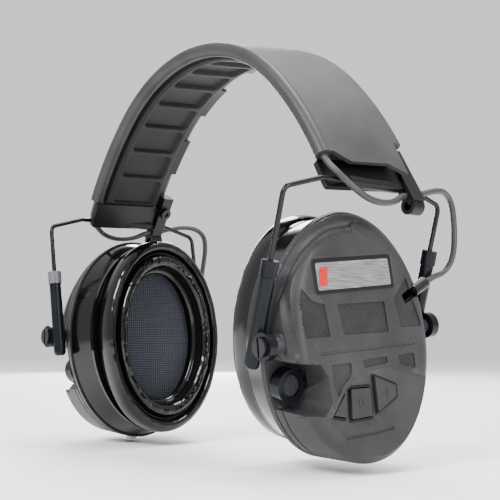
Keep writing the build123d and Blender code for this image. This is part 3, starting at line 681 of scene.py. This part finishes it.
def pad_face(run, across):
    """Height of the pad's inner face from the band's middle line, in mm."""
    along = (run + PAD_HALF_RUN) % pitch - pitch / 2
    reach = PAD_HALF_WIDTH - LAND
    inside = min(POCKET_LENGTH / 2 - abs(along), reach - abs(across))
    corner = hypot(max(abs(along) - POCKET_LENGTH / 2 + 2.5, 0), max(abs(across) - reach + 2.5, 0))
    if corner and abs(along) > POCKET_LENGTH / 2 - 2.5 and abs(across) > reach - 2.5:
        inside = 2.5 - corner
    rim = min(PAD_HALF_WIDTH - abs(across), PAD_HALF_RUN - abs(run))
    pillow = 0.9 * (1 - step_edge(rim - 1.0, 2.2))
    return pad_low + POCKET_DEPTH * step_edge(inside, 1.4) + pillow


runs = [-PAD_HALF_RUN + 2 * PAD_HALF_RUN * part / 560 for part in range(561)]
spans = [-PAD_HALF_WIDTH + 2 * PAD_HALF_WIDTH * part / 72 for part in range(73)]
points = [band_point(run, across, pad_face(run, across)) for run in runs for across in spans]
points += [band_point(run, across, pad_high) for run in runs for across in (spans[0], spans[-1])]
wide, upper = len(spans), len(runs) * len(spans)
quads = [(r * wide + s, r * wide + s + 1, (r + 1) * wide + s + 1, (r + 1) * wide + s)
         for r in range(len(runs) - 1) for s in range(wide - 1)]
for r in range(len(runs) - 1):
    quads += [(r * wide, (r + 1) * wide, upper + 2 * r + 2, upper + 2 * r),
              (r * wide + wide - 1, upper + 2 * r + 1, upper + 2 * r + 3, (r + 1) * wide + wide - 1),
              (upper + 2 * r, upper + 2 * r + 2, upper + 2 * r + 3, upper + 2 * r + 1)]
end = len(runs) - 1
quads += [tuple(range(wide)) + (upper + 1, upper),
          tuple(range(end * wide, end * wide + wide)) + (upper + 2 * end + 1, upper + 2 * end)]
pad = mesh_piece("band_pad_face", points, quads)
only(pad)
bpy.ops.object.shade_smooth_by_angle(angle=radians(50))
record_piece(pad, "headband", "pad_rubber", "band_pad")
print("pad", len(quads), "faces")

# %% [markdown]
# A plug of open-cell foam fills each microphone ring. It starts as a sphere, is flattened along the
# cup's outward axis, and is roughened a little so that its outline is not a perfect circle.

# %% Foam windscreens
MIC_MIDDLE = (-35.5, -19.2)
for name, cup in cups.items():
    low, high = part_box(name + "_windscreen")
    middle = (low + high) / 2 if hasattr(low, "length") else (Vector(low) + Vector(high)) / 2
    bpy.ops.object.select_all(action="DESELECT")
    bpy.ops.mesh.primitive_uv_sphere_add(segments=48, ring_count=24, radius=1, location=(0, 0, 0))
    foam = bpy.context.object
    foam.name = name + "_foam_windscreen"
    rear, up, out = (cup.col[part].to_3d().normalized() for part in range(3))
    for vertex in foam.data.vertices:
        x, y, z = vertex.co
        flat = 1.25 * (abs(z) ** 0.7) * (1 if z > 0 else -1)
        rough = 1 + noise.noise(vertex.co * 7) * 0.05
        vertex.co = middle + (rear * x * 5.0 * rough + up * y * 5.0 * rough + out * flat) * MM
    foam.data.update()
    foam.data.shade_smooth()
    record_piece(foam, name + "_cup", "mic_foam", name + "_windscreen")

# %% [markdown]
# ## Finishes
# Every finish is a small shader: a colour that varies a little, a roughness and a fine bump. Two
# helpers do the work. One adds a node with its settings and links, the other turns a hex colour from
# screen values to the linear values that the shader wants.

# %% Shader helpers
def linear(hex_colour):
    """A hex colour such as 4a4a4a as linear red, green, blue and alpha."""
    parts = [int(hex_colour[start:start + 2], 16) / 255 for start in (0, 2, 4)]
    return tuple(p / 12.92 if p <= 0.04045 else ((p + 0.055) / 1.055) ** 2.4 for p in parts) + (1.0,)


def add(tree, kind, settings=(), links=()):
    """Add one node, give its sockets or options these values, and link its inputs."""
    node = tree.nodes.new("ShaderNode" + kind)
    for key, value in dict(settings).items():
        if isinstance(key, int) or key in node.inputs:
            node.inputs[key].default_value = value
        else:
            setattr(node, key, value)
    for key, source in dict(links).items():
        tree.links.new(source, node.inputs[key])
    return node


def new_material(name, **sockets):
    """A material with one Principled shader. Its uniform values go on the shader's own sockets."""
    material = bpy.data.materials.new(name)
    material.use_nodes = True
    shader = material.node_tree.nodes["Principled BSDF"]
    for key, value in sockets.items():
        shader.inputs[key.replace("_", " ")].default_value = value
    return material, material.node_tree, shader


def moulded(name, dark, light, grain, roughness, depth, spread=0.06, **sockets):
    """A moulded surface: grain is the width of its texture in mm, depth its bump in mm."""
    material, tree, shader = new_material(name, **sockets)
    place = add(tree, "TexCoord").outputs["Object"]
    fine = add(tree, "TexNoise", {"Scale": 1 / (grain * MM), "Detail": 3.0}, {"Vector": place})
    broad = add(tree, "TexNoise", {"Scale": 1 / (22 * MM), "Detail": 2.0}, {"Vector": place})
    blend = add(tree, "Math", {"operation": "MULTIPLY_ADD", 1: 0.45}, {0: fine.outputs["Fac"]})
    tree.links.new(add(tree, "Math", {"operation": "MULTIPLY", 1: 0.55},
                       {0: broad.outputs["Fac"]}).outputs[0], blend.inputs[2])
    ramp = add(tree, "MapRange", {"From Min": 0.35, "From Max": 0.65}, {"Value": blend.outputs[0]})
    colour = add(tree, "Mix", {"data_type": "RGBA", 6: linear(dark), 7: linear(light)},
                 {0: ramp.outputs[0]})
    tree.links.new(colour.outputs[2], shader.inputs["Base Color"])
    rough = add(tree, "MapRange", {"From Min": 0.3, "From Max": 0.7, "To Min": roughness - spread,
                                   "To Max": roughness + spread}, {"Value": fine.outputs["Fac"]})
    tree.links.new(rough.outputs[0], shader.inputs["Roughness"])
    bump = add(tree, "Bump", {"Strength": 0.5, "Distance": depth * MM}, {"Height": fine.outputs["Fac"]})
    tree.links.new(bump.outputs[0], shader.inputs["Normal"])
    return material


# %% Rubber, plastic and metal finishes
# Soft-touch paint over ABS: a dull, fine, dry grain.
soft_touch = moulded("soft_touch_abs", "1c1c1e", "303032", 0.6, 0.44, 0.12, IOR=1.48,
                      Specular_IOR_Level=0.28)
# The sunken panels have a coarser spark-eroded grain, and a darker colour than the face: painted shade held
# in the recesses.
coarse_panel_painted_shade = moulded("spark_eroded_panel_painted_shade", "0e0e10", "29292b", 0.8, 0.5, 0.25, IOR=1.48,
                        Specular_IOR_Level=0.22)
red_paint = moulded("red_enamel", "a01010", "b81814", 1.0, 0.3, 0.01)
mark_print = moulded("dark_printed_mark", "0c0c0d", "141415", 0.5, 0.45, 0.01)
# Bare glossy ABS: almost a black mirror, with slow waviness from the mould.
gloss_abs = moulded("gloss_moulded_abs", "050506", "08080a", 6.0, 0.12, 0.02, 0.03, IOR=1.46,
                     Specular_IOR_Level=0.35)
# Thermoplastic elastomer skin of the band, with a leathery grain.
band_rubber = moulded("elastomer_band_skin", "222224", "333335", 0.7, 0.48, 0.1, IOR=1.48,
                       Specular_IOR_Level=0.35)
# Moulded foam rubber of the pad: duller and softer than the skin.
pad_rubber = moulded("moulded_pad_rubber", "17181a", "212224", 0.5, 0.6, 0.04, IOR=1.45,
                      Specular_IOR_Level=0.25)
# Blackened spring wire: dark metal with thin glints.
wire_steel = moulded("blackened_spring_wire", "1d1d1f", "2e2e30", 0.8, 0.3, 0.01, Metallic=0.9)
spring_steel = moulded("blued_spring_steel", "3c4048", "50545c", 0.9, 0.32, 0.008, Metallic=1.0)
screw_steel = moulded("black_oxide_screw", "1c1c1e", "38383a", 0.5, 0.34, 0.015, Metallic=0.9)
# Cable jacket of thermoplastic rubber: mid grey, satin.
cable_jacket = moulded("rubber_cable_jacket", "28282a", "343436", 0.5, 0.42, 0.02, IOR=1.49,
                        Specular_IOR_Level=0.35)
trim_plastic = moulded("satin_nylon", "09090a", "101011", 0.6, 0.36, 0.02, IOR=1.53,
                       Specular_IOR_Level=0.2)
collar_plastic = moulded("grey_nylon_collar", "4a4b4f", "58595d", 0.6, 0.35, 0.015, IOR=1.53)
sleeve_plastic = moulded("polished_acetal_sleeve", "090b0f", "101319", 6.0, 0.24, 0.01, 0.03, IOR=1.48,
                         Specular_IOR_Level=0.15)
key_rubber = moulded("silicone_keypad", "222224", "2c2c2e", 0.4, 0.5, 0.02, IOR=1.43,
                      Specular_IOR_Level=0.3)
board_green = moulded("solder_mask_board", "0f3a22", "17492c", 1.0, 0.35, 0.02)
cell_wrap = moulded("shrink_wrapped_cell", "1c2d55", "27406e", 2.0, 0.3, 0.01)
gold_metal = moulded("nickel_capsule", "9a9a98", "b4b4b0", 0.5, 0.3, 0.01, Metallic=1.0)
# Cushion skin of soft PVC: deep black, wet-looking, with a fine leather crease.
seal_vinyl = moulded("glossy_pvc_skin", "030304", "060608", 3.0, 0.17, 0.03, 0.04, IOR=1.42,
                     Specular_IOR_Level=0.3, Coat_Weight=0.3, Coat_Roughness=0.05)

# %% [markdown]
# The badge is a chromed plate. It is all metal, with fine level streaks that vary colour and shine.

# %% Chrome badge
chrome, tree, shader = new_material("polished_chrome_plate", Metallic=1.0)
place = add(tree, "TexCoord").outputs["Object"]
stretch = add(tree, "Mapping", {"Scale": (30, 30, 700)}, {"Vector": place})
streak = add(tree, "TexNoise", {"Scale": 4.0, "Detail": 2.0}, {"Vector": stretch.outputs[0]})
tone = add(tree, "Mix", {"data_type": "RGBA", 6: linear("2c2c2f"), 7: linear("f2f2f4")},
           {0: streak.outputs["Fac"]})
tree.links.new(tone.outputs[2], shader.inputs["Base Color"])
shine = add(tree, "MapRange", {"To Min": 0.12, "To Max": 0.3}, {"Value": streak.outputs["Fac"]})
tree.links.new(shine.outputs[0], shader.inputs["Roughness"])
print("materials so far:", len(bpy.data.materials))

# %% [markdown]
# The liner's cover is spacer mesh. Two crossed cosines give rows of round holes at a real spacing.

# %% Open mesh over the liner
# Knitted spacer mesh: round holes on a 2.6 mm grid, dark between blue-black threads.
MESH_PITCH = 2.6
spacer_mesh, tree, shader = new_material("knitted_spacer_mesh", Roughness=0.75, Sheen_Weight=0.3)
place = add(tree, "TexCoord").outputs["Object"]
split = add(tree, "SeparateXYZ", {}, {0: place})


def wave(tree, source, pitch, shift=0.0):
    """A cosine along one coordinate, with this pitch in mm."""
    phase = add(tree, "Math", {"operation": "MULTIPLY_ADD", 1: 2 * pi / (pitch * MM), 2: shift},
                {0: source})
    return add(tree, "Math", {"operation": "COSINE"}, {0: phase.outputs[0]}).outputs[0]


diagonal = [add(tree, "Math", {"operation": kind}, {0: split.outputs[1], 1: split.outputs[2]}).outputs[0]
            for kind in ("ADD", "SUBTRACT")]
product = add(tree, "Math", {"operation": "MULTIPLY"},
              {0: wave(tree, diagonal[0], MESH_PITCH), 1: wave(tree, diagonal[1], MESH_PITCH)})
thread = add(tree, "MapRange", {"From Min": 0.1, "From Max": 0.55}, {"Value": product.outputs[0]})
tone = add(tree, "Mix", {"data_type": "RGBA", 6: linear("06080f"), 7: linear("2a3452")},
           {0: thread.outputs[0]})
tree.links.new(tone.outputs[2], shader.inputs["Base Color"])
lift = add(tree, "Bump", {"Strength": 0.9, "Distance": 0.5 * MM}, {"Height": thread.outputs[0]})
tree.links.new(lift.outputs[0], shader.inputs["Normal"])

# %% [markdown]
# Foam scatters light in its cells and has no gloss. A Voronoi pattern gives cells of a real width.

# %% Open-cell foam
# Reticulated foam of the windscreens: black cells about 0.8 mm wide.
open_foam, tree, shader = new_material("open_cell_foam", Roughness=0.95)
place = add(tree, "TexCoord").outputs["Object"]
cells = add(tree, "TexVoronoi", {"Scale": 1 / (0.8 * MM)}, {"Vector": place})
tone = add(tree, "Mix", {"data_type": "RGBA", 6: linear("050505"), 7: linear("262627")},
           {0: cells.outputs["Distance"]})
tree.links.new(tone.outputs[2], shader.inputs["Base Color"])
pit = add(tree, "Bump", {"Strength": 1.0, "Distance": 0.5 * MM}, {"Height": cells.outputs["Distance"]})
tree.links.new(pit.outputs[0], shader.inputs["Normal"])

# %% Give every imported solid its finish
finishes = {
    "shell_rubberised": soft_touch, "gloss_shell": gloss_abs, "band_skin": band_rubber,
    "pad_rubber": pad_rubber, "spring_steel": spring_steel, "wire_steel": wire_steel,
    "screw_steel": screw_steel, "cable_jacket": cable_jacket, "trim_plastic": trim_plastic,
    "collar_plastic": collar_plastic, "sleeve_plastic": sleeve_plastic, "seal_vinyl": seal_vinyl,
    "mesh_fabric": spacer_mesh, "mic_foam": open_foam, "capsule_metal": gold_metal,
    "red_paint": red_paint, "mark_print": mark_print, "badge_chrome": chrome, "key_rubber": key_rubber,
    "board": board_green, "cell_wrap": cell_wrap,
}


def dress(piece, material):
    """Give a piece one material and nothing else."""
    piece.data.materials.clear()
    piece.data.materials.append(material)


for name, node in nodes.items():
    used = [entry.name.split(".")[0] for entry in node.data.materials if entry]
    slot = used[0] if used else "trim_plastic"
    dress(node, finishes.get(slot, trim_plastic))
    if slot not in finishes:
        print("no finish for slot", slot, "on", name)
for name in ("left_sleeve_collars", "left_mic_ring", "right_mic_ring"):
    dress(nodes[name], sleeve_plastic)
for piece in list(bpy.data.objects):
    if "_cable" in piece.name and piece.name not in nodes:
        dress(piece, cable_jacket)
    elif piece.name in finish_of and not piece.name.endswith("shell_face"):
        dress(piece, finishes[finish_of[piece.name]])
# Cut panel faces get the darker panel colour, painted shade in the sunken panels; the rest gets the
# soft-touch finish.
for piece in shells.values():
    for place, entry in enumerate(piece.data.materials):
        piece.data.materials[place] = coarse_panel_painted_shade if entry == panel_grain_and_shade_marker else soft_touch
bpy.data.materials.remove(panel_grain_and_shade_marker)

# %% [markdown]
# ## Floor and light
# A pale floor under the cups and soft lights: a large one over the camera's left shoulder, a weaker
# fill from the right, and a strip behind that draws bright lines along the glossy cushions.

# %% Floor
low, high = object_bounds()
bpy.ops.mesh.primitive_plane_add(size=6, location=(0, 0, low[2] - 0.0005))
floor = bpy.context.object
floor.name = "floor"
floor_finish, tree, shader = new_material("matt_studio_floor", Roughness=0.9)
speckle = add(tree, "TexNoise", {"Scale": 300.0}, {"Vector": add(tree, "TexCoord").outputs["Object"]})
tone = add(tree, "Mix", {"data_type": "RGBA", 6: linear("f0f0f0"), 7: linear("f8f8f8")},
           {0: speckle.outputs["Fac"]})
tree.links.new(tone.outputs[2], shader.inputs["Base Color"])
dress(floor, floor_finish)
floor.select_set(False)


# %% Lights
def area_light(name, place, target, size, power):
    data = bpy.data.lights.new(name, "AREA")
    data.shape = "RECTANGLE"
    data.size, data.size_y = size
    data.energy = power
    light = bpy.data.objects.new(name, data)
    bpy.context.scene.collection.objects.link(light)
    light.location = place
    light.rotation_euler = (Vector(target) - Vector(place)).to_track_quat("-Z", "Y").to_euler()
    return light


middle = (0.02, 0.0, -0.10)
area_light("key_light", (0.25, -1.1, 0.75), middle, (0.5, 0.5), 30)
area_light("fill_light", (1.2, 0.1, 0.35), middle, (0.3, 1.0), 16)
area_light("top_light", (0.1, 0.3, 1.2), middle, (0.8, 0.5), 26)
area_light("rim_light", (-0.9, 0.6, 0.4), middle, (0.25, 1.2), 16)
world = bpy.data.worlds.new("studio")
world.use_nodes = True
world.node_tree.nodes["Background"].inputs["Color"].default_value = (1, 1, 1, 1)
world.node_tree.nodes["Background"].inputs["Strength"].default_value = 1.0
bpy.context.scene.world = world

# %% [markdown]
# ## Finish

# %% Finish
bpy.context.view_layer.update()
